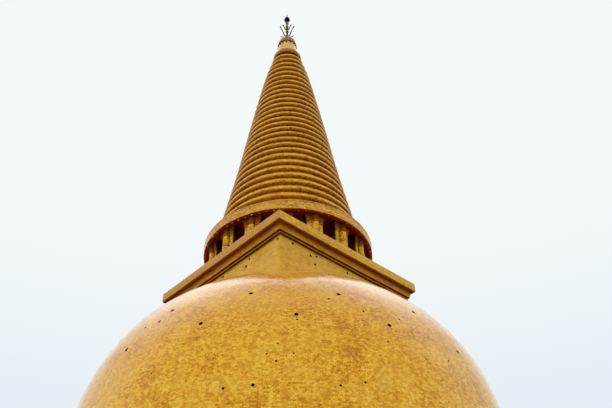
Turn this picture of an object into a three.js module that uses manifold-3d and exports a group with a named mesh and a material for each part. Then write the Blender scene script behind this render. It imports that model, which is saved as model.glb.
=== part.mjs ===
// A great bell-shaped stupa with a ringed spire, as a 1:10 model.
// Its origin is at the middle of its foot, +Z is up, and lengths are in millimetres.

import * as THREE from "three";
import { mergeVertices } from "three/addons/utils/BufferGeometryUtils.js";
import Module from "manifold-3d";

const wasm = await Module();
wasm.setup();

// One metre of the real building in millimetres of the model.
const metre = 100;

// Foot: round plinth, drum with its cornice, and the skirt that slopes in to the great rings.
const footRadius = 37.5 * metre;
const plinthHeight = 1.4 * metre;
const drumRadius = 36.4 * metre;
const drumTop = 7.4 * metre;
const drumCornice = { radius: 37.0 * metre, top: 8.5 * metre, soffitShare: 0.4 };
const skirt = { footRadius: 36.0 * metre, topRadius: 32.0 * metre, top: 13.2 * metre, hollow: 0.7 * metre };
const skirtSteps = 6;

// Three great rounded rings carry the mouth of the bell.
const greatRings = [
  { name: "great_ring_lower", radius: 32.6 * metre, top: 15.9 * metre },
  { name: "great_ring_middle", radius: 31.3 * metre, top: 18.4 * metre },
  { name: "great_ring_upper", radius: 30.1 * metre, top: 20.7 * metre },
];
const greatRingDepth = 1.5 * metre;
const greatRingSteps = 5;

// Mouth of the bell: a neck set back under a rounded lip.
const mouth = { neckRadius: 28.3 * metre, neckTop: 21.3 * metre, lipRadius: 29.2 * metre, top: 22.7 * metre };
const lipSteps = 4;

// Bell: a flare above the mouth, then a full shoulder that flattens towards its crown.
const bell = {
  mouthRadius: 28.3 * metre,
  waistRadius: 25.3 * metre,
  waistHeight: 30.0 * metre,
  crownHeight: 54.1 * metre,
  fullness: 2.4,
  flareSteps: 4,
  shoulderSteps: 13,
};

// Square throne on the crown of the bell. Each half is half of a side.
const throne = {
  wallHalf: 11.05 * metre,
  wallFoot: 49.6 * metre,
  wallTop: 55.86 * metre,
  filletHalf: 11.34 * metre,
  filletTop: 56.08 * metre,
  grooveHalf: 11.29 * metre,
  grooveTop: 56.13 * metre,
  slabHalf: 12.16 * metre,
  slabFoot: 57.12 * metre,
  slabTop: 58.41 * metre,
};
// The cove under the slab: half of its side at each height, in metres of the real building.
const bandCove = [[11.55, 56.13], [11.58, 56.4], [11.7, 56.76]];
const slabCove = [[11.7, 56.76], [11.84, 56.93], [12.05, 57.02], [12.05, 57.12]];

// Colonnade on the throne: a round step, a dark core and a ring of piers with engaged columns.
const stepRadius = 11.45 * metre;
const stepTop = 59.0 * metre;
const coreRadius = 7.8 * metre;
const soffitHeight = 63.3 * metre;
const columnCount = 16;
const columnCircle = 10.8 * metre;
const column = {
  shaftRadius: 0.42 * metre,
  plinthRadius: 0.5 * metre,
  baseRadius: 0.52 * metre,
  baseFoot: 60.15 * metre,
  baseTop: 60.75 * metre,
  capitalFoot: 61.8 * metre,
  capitalRadius: 0.48 * metre,
  capitalGroove: 0.4 * metre,
  capitalRings: 3,
  ringFootShare: 0.25,
  ringTopShare: 0.7,
  sides: 8,
};
const pier = { width: 2.2 * metre, inner: 10.05 * metre, outer: 10.62 * metre };

// Round cornice that carries the spire: a deep rim around a soffit that is set up inside it.
const cornice = {
  radius: 11.82 * metre,
  rimInner: 11.3 * metre,
  rimFoot: 62.92 * metre,
  rimTop: 64.42 * metre,
  seatRadius: 10.0 * metre,
  top: 65.7 * metre,
};

// Spire: a foot with one rounded ring and 27 more. The lowest stand at an even pitch, and the others
// closest together half way up. The outline gives height and outer radius.
const evenLips = { count: 8, lowest: 67.24 * metre, pitch: 1.505 * metre };
const lips = {
  lowest: 67.27 * metre,
  spacing: 1.63 * metre,
  gather: -0.024 * metre,
  spread: 0.00059 * metre,
};
const ringCount = 27;
const ringGroups = ["spire_rings_lower", "spire_rings_middle", "spire_rings_upper"];
const spireOutline = [
  new THREE.Vector2(66.0 * metre, 10.27 * metre),
  new THREE.Vector2(77.6 * metre, 7.99 * metre),
  new THREE.Vector2(88.3 * metre, 6.18 * metre),
  new THREE.Vector2(100.3 * metre, 4.02 * metre),
  new THREE.Vector2(107.0 * metre, 2.4 * metre),
];
// A ring's outline, out from its radius and up from its lip, in metres of the real building.
const ringSection = [[-0.42, -0.8], [-0.09, -0.64], [0, -0.38], [-0.12, -0.08], [-0.42, 0.04]];
const ringDepth = -ringSection[0][0] * metre;
const ringHeight = -ringSection[0][1] * metre;

// Collar, pale neck and rounded cap above the rings.
const collar = {
  radius: 2.48 * metre,
  topRadius: 2.2 * metre,
  top: 107.6 * metre,
  bulgeFoot: 0.3,
  bulgeTop: 0.7,
};
const neck = { footRadius: 2.06 * metre, topRadius: 1.56 * metre, top: 110.45 * metre };
const cap = {
  rimRadius: 1.72 * metre,
  rimTop: 110.75 * metre,
  seatRadius: 0.34 * metre,
  top: 112.8 * metre,
  steps: 8,
};

// Finial: three crowns of four blades on a beaded stem, a crown bud and a needle.
// Each blade's outline gives [reach, height] in metres of the real building.
const bladeCount = 4;
const bladeThickness = 0.14 * metre;
const lowerCrown = {
  hubRadius: 0.3 * metre,
  top: 113.5 * metre,
  blade: [[0, 113.15], [0.6, 113.25], [1.25, 113.95], [0.6, 113.48], [0, 113.4]],
};
const upperCrown = {
  hubRadius: 0.17 * metre,
  top: 114.6 * metre,
  blade: [
    [0, 113.62], [0.55, 113.95], [0.8, 114.95], [1.28, 116.75],
    [0.66, 115.05], [0.4, 114.2], [0, 113.85],
  ],
};
const innerCrown = {
  hubRadius: 0.25 * metre,
  foot: 115.55 * metre,
  top: 115.9 * metre,
  blade: [
    [0, 115.62], [0.4, 115.8], [0.56, 116.4], [0.82, 117.3],
    [0.44, 116.5], [0.3, 115.86], [0, 115.84],
  ],
};
const stem = {
  radius: 0.13 * metre,
  beadRadius: 0.21 * metre,
  top: 118.15 * metre,
  beadFoot: 0.35,
  beadTop: 0.65,
};
const lowerStemBeads = 1;
const upperStemBeads = 2;
const bud = { radius: 0.54 * metre, top: 119.8 * metre };
// The bud's outline, as shares of its radius and of its height.
const budShares = [[0.45, 0], [0.88, 0.12], [1, 0.32], [0.76, 0.56], [0.4, 0.76], [0.2, 0.9]];
const needle = { radius: 0.09 * metre, tipRadius: 0.02 * metre, top: 120.45 * metre };

// Sides of the round pieces, and the gap kept where one piece is cut to fit a curved neighbour.
const bodySides = 56;
const spireSides = 28;
const finialSides = 8;
const fitGap = 0.3;

// Finishes.
const goldTile = { color: 0xc99b3a, roughness: 0.42, metalness: 0.05 };
const shadedWall = { color: 0x3d2612, roughness: 0.9, metalness: 0.0 };
const paleGlaze = { color: 0xdcb67c, roughness: 0.4, metalness: 0.0 };
const amberGlaze = { color: 0x9c5416, roughness: 0.4, metalness: 0.05 };
const darkBronze = { color: 0x35302c, roughness: 0.5, metalness: 0.6 };
const gildedMetal = { color: 0xb98d3c, roughness: 0.4, metalness: 0.8 };

const stupa = new THREE.Group();

function addPiece(name, geometry, finish) {
  const mesh = new THREE.Mesh(geometry, new THREE.MeshStandardMaterial(finish));
  mesh.name = name;
  stupa.add(mesh);
  return mesh;
}

// Turns an outline of [radius, height] points, from the bottom up, about the Z axis.
// It closes the outline to the axis at both ends.
function turned(outline, sides) {
  const first = outline[0];
  const last = outline[outline.length - 1];
  const points = [[0, first[1]], ...outline, [0, last[1]]];
  const profile = points.map(([radius, height]) => new THREE.Vector2(radius, height));
  const geometry = new THREE.LatheGeometry(profile, sides);
  geometry.rotateX(Math.PI / 2);
  return geometry;
}

// A square block that may taper, standing on the axis.
function squareBlock(footHalf, topHalf, foot, top) {
  const geometry = new THREE.BoxGeometry(2 * footHalf, 2 * footHalf, top - foot);
  const position = geometry.getAttribute("position");
  for (let i = 0; i < position.count; i += 1) {
    const grow = position.getZ(i) > 0 ? topHalf / footHalf : 1;
    position.setXY(i, position.getX(i) * grow, position.getY(i) * grow);
  }
  geometry.translate(0, 0, (foot + top) / 2);
  return geometry;
}

// A block between two radii along +X, centred across it.
function radialBlock(inner, outer, width, foot, top) {
  const geometry = new THREE.BoxGeometry(outer - inner, width, top - foot);
  geometry.translate((inner + outer) / 2, 0, (foot + top) / 2);
  return geometry;
}

function toSolid(geometry) {
  const bare = new THREE.BufferGeometry();
  bare.setAttribute("position", geometry.getAttribute("position").clone());
  bare.setIndex(geometry.getIndex() ? geometry.getIndex().clone() : null);
  const merged = mergeVertices(bare, 0.001);
  const corners = merged.getIndex().array;
  const kept = [];
  for (let i = 0; i < corners.length; i += 3) {
    const [a, b, c] = [corners[i], corners[i + 1], corners[i + 2]];
    if (a !== b && b !== c && c !== a) {
      kept.push(a, b, c);
    }
  }
  return new wasm.Manifold(new wasm.Mesh({
    numProp: 3,
    vertProperties: new Float32Array(merged.getAttribute("position").array),
    triVerts: new Uint32Array(kept),
  }));
}

function toGeometry(solid) {
  const mesh = solid.getMesh();
  const geometry = new THREE.BufferGeometry();
  geometry.setAttribute("position", new THREE.BufferAttribute(mesh.vertProperties, 3));
  geometry.setIndex(new THREE.BufferAttribute(mesh.triVerts, 1));
  geometry.computeVertexNormals();
  return geometry;
}

function joined(geometries) {
  const solids = geometries.map(toSolid);
  return solids.reduce((whole, solid) => whole.add(solid));
}

// Foot of the stupa.
function addFoot() {
  addPiece("ground_plinth", turned([[footRadius, 0], [footRadius, plinthHeight]], bodySides), goldTile);
  addPiece("base_drum", turned([[drumRadius, plinthHeight], [drumRadius, drumTop]], bodySides), goldTile);
  const corniceOutline = [
    [drumRadius, drumTop],
    [drumCornice.radius, drumTop + drumCornice.soffitShare * (drumCornice.top - drumTop)],
    [drumCornice.radius, drumCornice.top],
  ];
  addPiece("drum_cornice", turned(corniceOutline, bodySides), goldTile);
  const skirtOutline = [];
  for (let i = 0; i <= skirtSteps; i += 1) {
    const share = i / skirtSteps;
    const straight = skirt.footRadius + (skirt.topRadius - skirt.footRadius) * share;
    const height = drumCornice.top + (skirt.top - drumCornice.top) * share;
    skirtOutline.push([straight - skirt.hollow * Math.sin(Math.PI * share), height]);
  }
  addPiece("sloping_skirt", turned(skirtOutline, bodySides), goldTile);
}

// A rounded ring between two heights: half an oval standing out from a straight back.
function roundedRing(radius, depth, foot, top, arcSteps) {
  const outline = [];
  for (let i = 0; i <= arcSteps; i += 1) {
    const angle = Math.PI * (i / arcSteps - 0.5);
    const height = (foot + top) / 2 + ((top - foot) / 2) * Math.sin(angle);
    outline.push([radius - depth + depth * Math.cos(angle), height]);
  }
  return outline;
}

function addGreatRings() {
  let foot = skirt.top;
  for (const great of greatRings) {
    const outline = roundedRing(great.radius, greatRingDepth, foot, great.top, greatRingSteps);
    addPiece(great.name, turned(outline, bodySides), goldTile);
    foot = great.top;
  }
  const lipDepth = mouth.lipRadius - mouth.neckRadius;
  const outline = [
    [mouth.neckRadius, foot],
    ...roundedRing(mouth.lipRadius, lipDepth, mouth.neckTop, mouth.top, lipSteps),
  ];
  addPiece("bell_mouth", turned(outline, bodySides), goldTile);
}

// Outline of the bell, with an amount that it is grown by for cutting what stands on it.
function bellOutline(grow) {
  const outline = [];
  const flareHeight = bell.waistHeight - mouth.top;
  for (let i = 0; i < bell.flareSteps; i += 1) {
    const share = 1 - i / bell.flareSteps;
    const radius = bell.waistRadius + (bell.mouthRadius - bell.waistRadius) * share * share;
    outline.push([radius + grow, bell.waistHeight - flareHeight * share]);
  }
  const rise = bell.crownHeight - bell.waistHeight;
  const power = 2 / bell.fullness;
  for (let i = 0; i < bell.shoulderSteps; i += 1) {
    const angle = (Math.PI / 2) * (i / bell.shoulderSteps);
    const radius = bell.waistRadius * Math.cos(angle) ** power;
    outline.push([radius + grow, bell.waistHeight + rise * Math.sin(angle) ** power + grow]);
  }
  outline.push([0.001, bell.crownHeight + grow]);
  return outline;
}

function addBell() {
  addPiece("bell", turned(bellOutline(0), bodySides), goldTile);
}

function addThrone() {
  const block = squareBlock(throne.wallHalf, throne.wallHalf, throne.wallFoot, throne.wallTop);
  const wall = toSolid(block).subtract(toSolid(turned(bellOutline(fitGap), bodySides)));
  addPiece("throne_wall", toGeometry(wall), goldTile);
  const fillets = joined([
    squareBlock(throne.filletHalf, throne.filletHalf, throne.wallTop, throne.filletTop),
    squareBlock(throne.grooveHalf, throne.grooveHalf, throne.filletTop, throne.grooveTop),
  ]);
  addPiece("throne_fillets", toGeometry(fillets), goldTile);
  addPiece("throne_band", toGeometry(joined(coveBlocks(bandCove))), goldTile);
  const slab = squareBlock(throne.slabHalf, throne.slabHalf, throne.slabFoot, throne.slabTop);
  addPiece("throne_slab", toGeometry(joined([...coveBlocks(slabCove), slab])), goldTile);
}

// Stacked square blocks from an outline of [half side, height].
function coveBlocks(outline) {
  const blocks = [];
  for (let i = 0; i + 1 < outline.length; i += 1) {
    const [half, foot] = outline[i];
    const [topHalf, top] = outline[i + 1];
    blocks.push(squareBlock(half * metre, topHalf * metre, foot * metre, top * metre));
  }
  return blocks;
}

// Engaged column: plinth, base ring, shaft and a capital of stacked rings, on its own axis.
function columnOutline() {
  const outline = [
    [column.plinthRadius, stepTop],
    [column.plinthRadius, column.baseFoot],
    [column.baseRadius, column.baseFoot],
    [column.baseRadius, column.baseTop],
    [column.shaftRadius, column.baseTop],
    [column.shaftRadius, column.capitalFoot],
  ];
  const pitch = (soffitHeight - column.capitalFoot) / column.capitalRings;
  for (let i = 0; i < column.capitalRings; i += 1) {
    const foot = column.capitalFoot + i * pitch;
    outline.push([column.capitalRadius, foot + column.ringFootShare * pitch]);
    outline.push([column.capitalRadius, foot + column.ringTopShare * pitch]);
    if (i < column.capitalRings - 1) {
      outline.push([column.capitalGroove, foot + pitch]);
    }
  }
  outline.push([column.capitalRadius, soffitHeight]);
  return outline;
}

function columnSolid() {
  const shaft = turned(columnOutline(), column.sides);
  shaft.translate(columnCircle, 0, 0);
  return joined([
    shaft,
    radialBlock(pier.inner, pier.outer, pier.width, stepTop, soffitHeight),
  ]);
}

function addColonnade() {
  const step = turned([[stepRadius, throne.slabTop], [stepRadius, stepTop]], spireSides);
  addPiece("colonnade_step", step, goldTile);
  const core = turned([[coreRadius, stepTop], [coreRadius, soffitHeight]], spireSides);
  addPiece("colonnade_core", core, shadedWall);
  const solid = columnSolid();
  for (let i = 0; i < columnCount; i += 1) {
    const geometry = toGeometry(solid);
    geometry.rotateZ((2 * Math.PI * i) / columnCount);
    addPiece(`column_${String(i + 1).padStart(2, "0")}`, geometry, goldTile);
  }
  const corniceOutline = [
    [cornice.rimInner, soffitHeight],
    [cornice.rimInner, cornice.rimFoot],
    [cornice.radius, cornice.rimFoot],
    [cornice.radius, cornice.rimTop],
    [cornice.seatRadius, cornice.top],
  ];
  addPiece("spire_cornice", turned(corniceOutline, 2 * spireSides), goldTile);
}

// Outer radius of the spire at a height, found by halving.
const spireCurve = new THREE.SplineCurve(spireOutline);
const halvings = 30;

function spireRadius(height) {
  const first = spireOutline[0].x;
  const last = spireOutline[spireOutline.length - 1].x;
  let low = 0;
  let high = 1;
  for (let i = 0; i < halvings; i += 1) {
    const middle = (low + high) / 2;
    if (spireCurve.getPoint(middle).x < Math.min(Math.max(height, first), last)) {
      low = middle;
    } else {
      high = middle;
    }
  }
  return spireCurve.getPoint(low).y;
}

// Height of a ring's lip, counted from the foot's ring, and of the seam under that ring.
function lipHeight(count) {
  if (count < evenLips.count) {
    return evenLips.lowest + count * evenLips.pitch;
  }
  return lips.lowest + count * (lips.spacing + count * (lips.gather + count * lips.spread));
}

function seamHeight(count) {
  return lipHeight(count) - ringHeight;
}

function spireRing(count) {
  const radius = spireRadius(lipHeight(count));
  return ringSection.map(([out, up]) => [radius + out * metre, lipHeight(count) + up * metre]);
}

function addSpire() {
  const backAt = (height) => spireRadius(height) - ringDepth;
  const seam = seamHeight(1);
  const footOutline = [[cornice.seatRadius, cornice.top], ...spireRing(0), [backAt(seam), seam]];
  addPiece("spire_foot", turned(footOutline, spireSides), goldTile);
  const perGroup = ringCount / ringGroups.length;
  ringGroups.forEach((name, group) => {
    const first = 1 + group * perGroup;
    const outline = [];
    for (let i = 0; i < perGroup; i += 1) {
      outline.push(...spireRing(first + i));
    }
    const end = seamHeight(first + perGroup);
    outline.push([backAt(end), end]);
    addPiece(name, turned(outline, spireSides), goldTile);
  });
}

function addCap() {
  const foot = seamHeight(ringCount + 1);
  const collarOutline = [
    [collar.topRadius, foot],
    [collar.radius, foot + collar.bulgeFoot * (collar.top - foot)],
    [collar.radius, foot + collar.bulgeTop * (collar.top - foot)],
    [collar.topRadius, collar.top],
  ];
  addPiece("spire_collar", turned(collarOutline, spireSides), amberGlaze);
  const neckOutline = [[neck.footRadius, collar.top], [neck.topRadius, neck.top]];
  addPiece("spire_neck", turned(neckOutline, spireSides), paleGlaze);
  const capOutline = [[cap.rimRadius, neck.top]];
  for (let i = 0; i < cap.steps; i += 1) {
    const angle = (Math.PI / 2) * (i / cap.steps);
    const radius = cap.seatRadius + (cap.rimRadius - cap.seatRadius) * Math.cos(angle);
    capOutline.push([radius, cap.rimTop + (cap.top - cap.rimTop) * Math.sin(angle)]);
  }
  capOutline.push([cap.seatRadius, cap.top]);
  addPiece("rounded_cap", turned(capOutline, spireSides), amberGlaze);
}

// A flat curved blade from its outline in real metres, standing along +X.
function bladeSolid(outline) {
  const corners = outline.map(([reach, height]) => new THREE.Vector2(reach * metre, height * metre));
  const shape = new THREE.Shape(corners);
  const geometry = new THREE.ExtrudeGeometry(shape, { depth: bladeThickness, bevelEnabled: false, steps: 1 });
  geometry.translate(0, 0, -bladeThickness / 2);
  geometry.rotateX(Math.PI / 2);
  return geometry;
}

// Four blades about a round hub.
function addCrown(name, crown, foot) {
  let whole = toSolid(turned([[crown.hubRadius, foot], [crown.hubRadius, crown.top]], finialSides));
  for (let i = 0; i < bladeCount; i += 1) {
    const blade = bladeSolid(crown.blade);
    blade.rotateZ((2 * Math.PI * (i + 0.5)) / bladeCount);
    whole = whole.add(toSolid(blade));
  }
  addPiece(name, toGeometry(whole), darkBronze);
}

function addStem(name, foot, top, beads) {
  const outline = [];
  const pitch = (top - foot) / beads;
  for (let i = 0; i < beads; i += 1) {
    const beadFoot = foot + i * pitch;
    outline.push([stem.radius, beadFoot]);
    outline.push([stem.beadRadius, beadFoot + stem.beadFoot * pitch]);
    outline.push([stem.beadRadius, beadFoot + stem.beadTop * pitch]);
  }
  outline.push([stem.radius, top]);
  addPiece(name, turned(outline, finialSides), gildedMetal);
}

function addFinial() {
  addCrown("lower_prongs", lowerCrown, cap.top);
  addCrown("upper_prongs", upperCrown, lowerCrown.top);
  addStem("lower_stem", upperCrown.top, innerCrown.foot, lowerStemBeads);
  addCrown("inner_prongs", innerCrown, innerCrown.foot);
  addStem("upper_stem", innerCrown.top, stem.top, upperStemBeads);
  const budHeight = bud.top - stem.top;
  const budOutline = budShares.map(([width, rise]) => [width * bud.radius, stem.top + rise * budHeight]);
  budOutline.push([needle.radius, bud.top]);
  addPiece("crown_bud", turned(budOutline, finialSides), darkBronze);
  const needleOutline = [[needle.radius, bud.top], [needle.tipRadius, needle.top]];
  addPiece("needle", turned(needleOutline, finialSides), darkBronze);
}

addFoot();
addGreatRings();
addBell();
addThrone();
addColonnade();
addSpire();
addCap();
addFinial();

export default stupa;
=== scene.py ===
# A great bell-shaped stupa clad in gold mosaic tile, as a 1:10 model seen from the ground below it.
import math

import bmesh
import bpy
from mathutils import Matrix, Vector, noise


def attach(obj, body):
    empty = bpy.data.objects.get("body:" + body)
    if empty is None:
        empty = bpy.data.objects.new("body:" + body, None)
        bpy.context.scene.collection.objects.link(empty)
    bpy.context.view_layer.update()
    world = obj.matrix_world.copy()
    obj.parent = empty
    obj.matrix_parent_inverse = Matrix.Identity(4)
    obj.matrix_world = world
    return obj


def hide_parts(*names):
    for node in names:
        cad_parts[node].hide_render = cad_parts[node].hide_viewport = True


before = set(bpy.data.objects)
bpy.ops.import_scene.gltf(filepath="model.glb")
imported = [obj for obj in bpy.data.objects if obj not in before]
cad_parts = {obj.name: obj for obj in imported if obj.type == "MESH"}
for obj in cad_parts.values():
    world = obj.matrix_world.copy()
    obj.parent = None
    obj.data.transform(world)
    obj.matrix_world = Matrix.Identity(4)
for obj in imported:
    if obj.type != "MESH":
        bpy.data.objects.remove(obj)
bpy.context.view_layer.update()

realMetre = 0.1  # a metre of the real building, in metres of the model
fullTurn = 2 * math.pi


# Colours and nodes

def linear(hexColour):
    # sRGB hex to linear RGBA
    values = [int(hexColour[i:i + 2], 16) / 255 for i in (0, 2, 4)]
    turned = [v / 12.92 if v <= 0.04045 else ((v + 0.055) / 1.055) ** 2.4 for v in values]
    return (*turned, 1.0)


def addNode(tree, kind, settings=None, links=None):
    # a node with its settings, and its inputs linked to a socket or set to a value
    node = tree.nodes.new(kind)
    for name, value in (settings or {}).items():
        setattr(node, name, value)
    for socket, value in (links or {}).items():
        if isinstance(value, bpy.types.NodeSocket):
            tree.links.new(value, node.inputs[socket])
        else:
            node.inputs[socket].default_value = value
    return node


def newMaterial(name):
    material = bpy.data.materials.new(name)
    material.use_nodes = True
    material.node_tree.nodes.clear()
    return material, material.node_tree


def endMaterial(tree, inputs):
    shader = addNode(tree, "ShaderNodeBsdfPrincipled", {}, inputs)
    addNode(tree, "ShaderNodeOutputMaterial", {}, {0: shader.outputs[0]})


def grain(tree, place, size, flat, detail, roughness):
    # noise whose features are about size across, in real metres, and flatter or taller than wide
    scaled = addNode(tree, "ShaderNodeMapping", {}, {"Vector": place, "Scale": (1, 1, flat)}).outputs[0]
    links = {"Vector": scaled, "Scale": 1 / (size * realMetre), "Detail": detail, "Roughness": roughness}
    return addNode(tree, "ShaderNodeTexNoise", {}, links).outputs[0]


def shaded(tree, value, stops, colours):
    # colours by value, from hex colours that stand at the stops
    node = addNode(tree, "ShaderNodeValToRGB", {}, {0: value})
    elements = node.color_ramp.elements
    while len(elements) < len(stops):
        elements.new(0.5)
    for element, position, hexColour in zip(elements, stops, colours.split()):
        element.position = position
        element.color = linear(hexColour)
    return node.outputs[0]


def weighed(tree, parts):
    # adds up (value, share) pairs about a middle of 0.5
    total = 0.5 - 0.5 * sum(share for _, share in parts)
    for value, share in parts:
        links = {0: value, 1: share, 2: total}
        total = addNode(tree, "ShaderNodeMath", {"operation": "MULTIPLY_ADD"}, links).outputs[0]
    return total


def overlaid(tree, colour, value, stainOrShade):
    # lays a colour over a colour, such as a stain or painted shade: none where the value is start, and its
    # full share where it is end
    if not stainOrShade:
        return colour
    way, hexColour, start, end, share = stainOrShade
    spread = addNode(tree, "ShaderNodeMapRange", {}, {0: value, 1: start, 2: end, 4: share}).outputs[0]
    settings = {"data_type": "RGBA", "blend_type": way}
    return addNode(tree, "ShaderNodeMix", settings, {0: spread, 6: colour, 7: linear(hexColour)}).outputs[2]


def coursesOf(tree, place, look):
    # a vector that counts sheets across and up
    width, height = look["sheet"]
    if not look["aroundAxis"]:
        laid = addNode(tree, "ShaderNodeUVMap", {"uv_map": "courses"}).outputs[0]
        scale = (1 / width, 1 / height, 1)
    else:
        x, y, z = addNode(tree, "ShaderNodeSeparateXYZ", {}, {0: place}).outputs
        turn = addNode(tree, "ShaderNodeMath", {"operation": "ARCTAN2"}, {0: y, 1: x}).outputs[0]
        laid = addNode(tree, "ShaderNodeCombineXYZ", {}, {0: turn, 1: z}).outputs[0]
        scale = (look["aroundAxis"] / fullTurn, 1 / (height * realMetre), 1)
    return addNode(tree, "ShaderNodeMapping", {}, {"Vector": laid, "Scale": scale}).outputs[0]


def betweenColumns(tree, place, normal, look):
    # a value and its painted shade: darkened flanks, where the piers shade each other, that face along the
    # ring of columns, near the axis
    settings = {"operation": "MULTIPLY"}
    level = addNode(tree, "ShaderNodeVectorMath", settings, {0: place, 1: (1, 1, 0)}).outputs[0]
    way = addNode(tree, "ShaderNodeVectorMath", {"operation": "NORMALIZE"}, {0: level}).outputs[0]
    outwards = addNode(tree, "ShaderNodeVectorMath", {"operation": "DOT_PRODUCT"}, {0: way, 1: normal})
    reach = addNode(tree, "ShaderNodeVectorMath", {"operation": "LENGTH"}, {0: level})
    way, hexColour, start, end, share = look["paintedFlankShade"]
    inner, outer = [edge * realMetre for edge in look["paintedFlankShadeReach"]]
    links = {0: reach.outputs["Value"], 1: inner, 2: outer, 3: share, 4: 0.0}
    share = addNode(tree, "ShaderNodeMapRange", {}, links).outputs[0]
    return outwards.outputs["Value"], (way, hexColour, start, end, share)


# each kind of grain in the tile: the noise's detail and roughness
tileGrains = {
    "dash": (2.0, 0.6), "cloud": (3.0, 0.62), "patch": (3.0, 0.6), "streak": (3.0, 0.65), "swell": (1.0, 0.5)}
tileBond = {
    "Color1": (0, 0, 0, 1), "Color2": (1, 1, 1, 1), "Mortar": (0.2, 0.2, 0.2, 1), "Mortar Smooth": 0.4,
    "Scale": 1.0, "Brick Width": 1.0, "Row Height": 1.0,
}


def tiled(name, look):
    # Small glazed mosaic pieces, set by hand in sheets that run in courses round the building.
    material, tree = newMaterial(name)
    place = addNode(tree, "ShaderNodeTexCoord").outputs["Object"]
    normal = addNode(tree, "ShaderNodeNewGeometry").outputs["Normal"]
    facing = addNode(tree, "ShaderNodeSeparateXYZ", {}, {0: normal}).outputs
    height = addNode(tree, "ShaderNodeSeparateXYZ", {}, {0: place}).outputs[2]
    courses = coursesOf(tree, place, look)
    sheets = addNode(tree, "ShaderNodeTexBrick", {"offset": look["sheetOffset"]}, {
        "Vector": courses, "Mortar Size": look["joint"], **tileBond}).outputs
    wide = addNode(tree, "ShaderNodeMapping", {}, {"Vector": courses, "Scale": look["panelScale"]}).outputs[0]
    panels = addNode(tree, "ShaderNodeTexBrick", {"offset": look["panelOffset"]}, {
        "Vector": wide, "Mortar Size": 0.0, **tileBond}).outputs
    dashes, clouds, patches, streaks, swell = [
        grain(tree, place, look[kind], look[kind + "Flat"], *detail) for kind, detail in tileGrains.items()]
    tone = weighed(tree, [
        (sheets[0], look["sheetShare"]), (panels[0], look["panelShare"]), (dashes, look["dashShare"]),
        (clouds, look["cloudShare"]), (patches, look["patchShare"])])
    tan = weighed(tree, list(zip((clouds, patches, dashes), look["tanShares"])))
    colour = shaded(tree, tone, look["stops"], look["colours"])
    colour = overlaid(tree, colour, tan, look["tan"])
    colour = overlaid(tree, colour, streaks, look["rain"])
    # painted shade: darker where ambient occlusion finds hollows, creases and recesses
    if look["hollow"]:
        links = {"Distance": look["hollowSize"] * realMetre}
        hollows = addNode(tree, "ShaderNodeAmbientOcclusion", {"samples": 6}, links).outputs["AO"]
        colour = overlaid(tree, colour, hollows, look["hollow"])
    # painted shade: faces turned down are darkened
    colour = overlaid(tree, colour, facing[2], look["under"])
    # painted shade: faces turned up are darkened and warmed, against the stronger light from above
    colour = overlaid(tree, colour, facing[2], look["top"])
    # painted shade on the piers' flanks between the columns
    if look["paintedFlankShade"]:
        colour = overlaid(tree, colour, *betweenColumns(tree, place, normal, look))
    # painted shade above a height: the column capitals under the cornice
    colour = overlaid(tree, colour, height, look["high"])
    # faces turned towards -Y are mixed towards a colour
    colour = overlaid(tree, colour, facing[1], look["minusYTint"])
    smooth, rough = look["roughness"]
    links = {0: clouds, 1: look["roughStart"], 2: look["roughEnd"], 3: smooth, 4: rough}
    roughness = addNode(tree, "ShaderNodeMapRange", {}, links).outputs[0]
    waves = addNode(tree, "ShaderNodeBump", {}, {
        "Strength": 1.0, "Distance": look["swellDepth"] * realMetre, "Height": swell}).outputs[0]
    relief = weighed(tree, list(zip((sheets[1], sheets[0], dashes), look["reliefShares"])))
    links = {"Strength": 1.0, "Distance": look["relief"] * realMetre, "Height": relief, "Normal": waves}
    bump = addNode(tree, "ShaderNodeBump", {}, links).outputs[0]
    endMaterial(tree, {
        "Base Color": colour, "Roughness": roughness, "Normal": bump, "IOR": look["ior"],
        "Specular IOR Level": look["gloss"], "Specular Tint": linear(look["glossColour"]),
        "Sheen Weight": look["dust"], "Sheen Roughness": look["dustGloss"],
        "Sheen Tint": linear(look["dustColour"])})
    return material


# Glazed gold mosaic: yellow ochre mottled with tan and brown, and a soft shine that whitens where
# the eye grazes it. Its pieces are about 25 mm, too fine to show, so they are drawn ten times as coarse.
goldMosaicLook = {
    # sizes of the patterns in real metres, how much flatter than wide each is, and its share of the tone
    "sheet": (0.36, 0.2), "joint": 0.06, "sheetOffset": 0.37, "sheetShare": 0.55, "aroundAxis": 0,
    "panelScale": (0.27, 0.31, 1), "panelOffset": 0.41, "panelShare": 0.12,
    "dash": 0.2, "dashFlat": 2.1, "dashShare": 1.9, "cloud": 0.7, "cloudFlat": 2.2, "cloudShare": 0.9,
    "patch": 3.6, "patchFlat": 1.3, "patchShare": 0.8, "streak": 0.8, "streakFlat": 0.16,
    "stops": (0.0, 0.28, 0.5, 0.72, 1.0), "colours": "b06c04 d49006 ecac0c f6be24 ffdc58",
    # each stain or painted shade: how it mixes, its colour, where it starts, where it is full, and its share
    "tan": ("MIX", "d08830", 0.5, 0.95, 0.5), "tanShares": (1.1, 1.6, 0.9),
    "rain": ("MULTIPLY", "dcb478", 0.52, 0.75, 0.5),
    # painted shade: darker in hollows and creases
    "hollow": ("MULTIPLY", "8a4a10", 0.85, 0.25, 0.7), "hollowSize": 0.8,
    # painted shade: faces turned down are darkened, and faces turned up are darkened and warmed
    "under": ("MULTIPLY", "9a5c1c", -0.15, -0.7, 0.6), "top": ("MULTIPLY", "c8a258", 0.0, 1.0, 1.0),
    "paintedFlankShade": None, "high": None, "minusYTint": None,
    "roughness": (0.06, 0.12), "roughStart": 0.35, "roughEnd": 0.65, "ior": 1.5, "gloss": 0.5,
    "glossColour": "ffffff", "dust": 0.13, "dustGloss": 0.25, "dustColour": "ffe6d8",
    "swell": 2.6, "swellFlat": 1.0, "swellDepth": 0.1, "relief": 0.006, "reliefShares": (-0.4, 0.3, 1.0),
}
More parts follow.
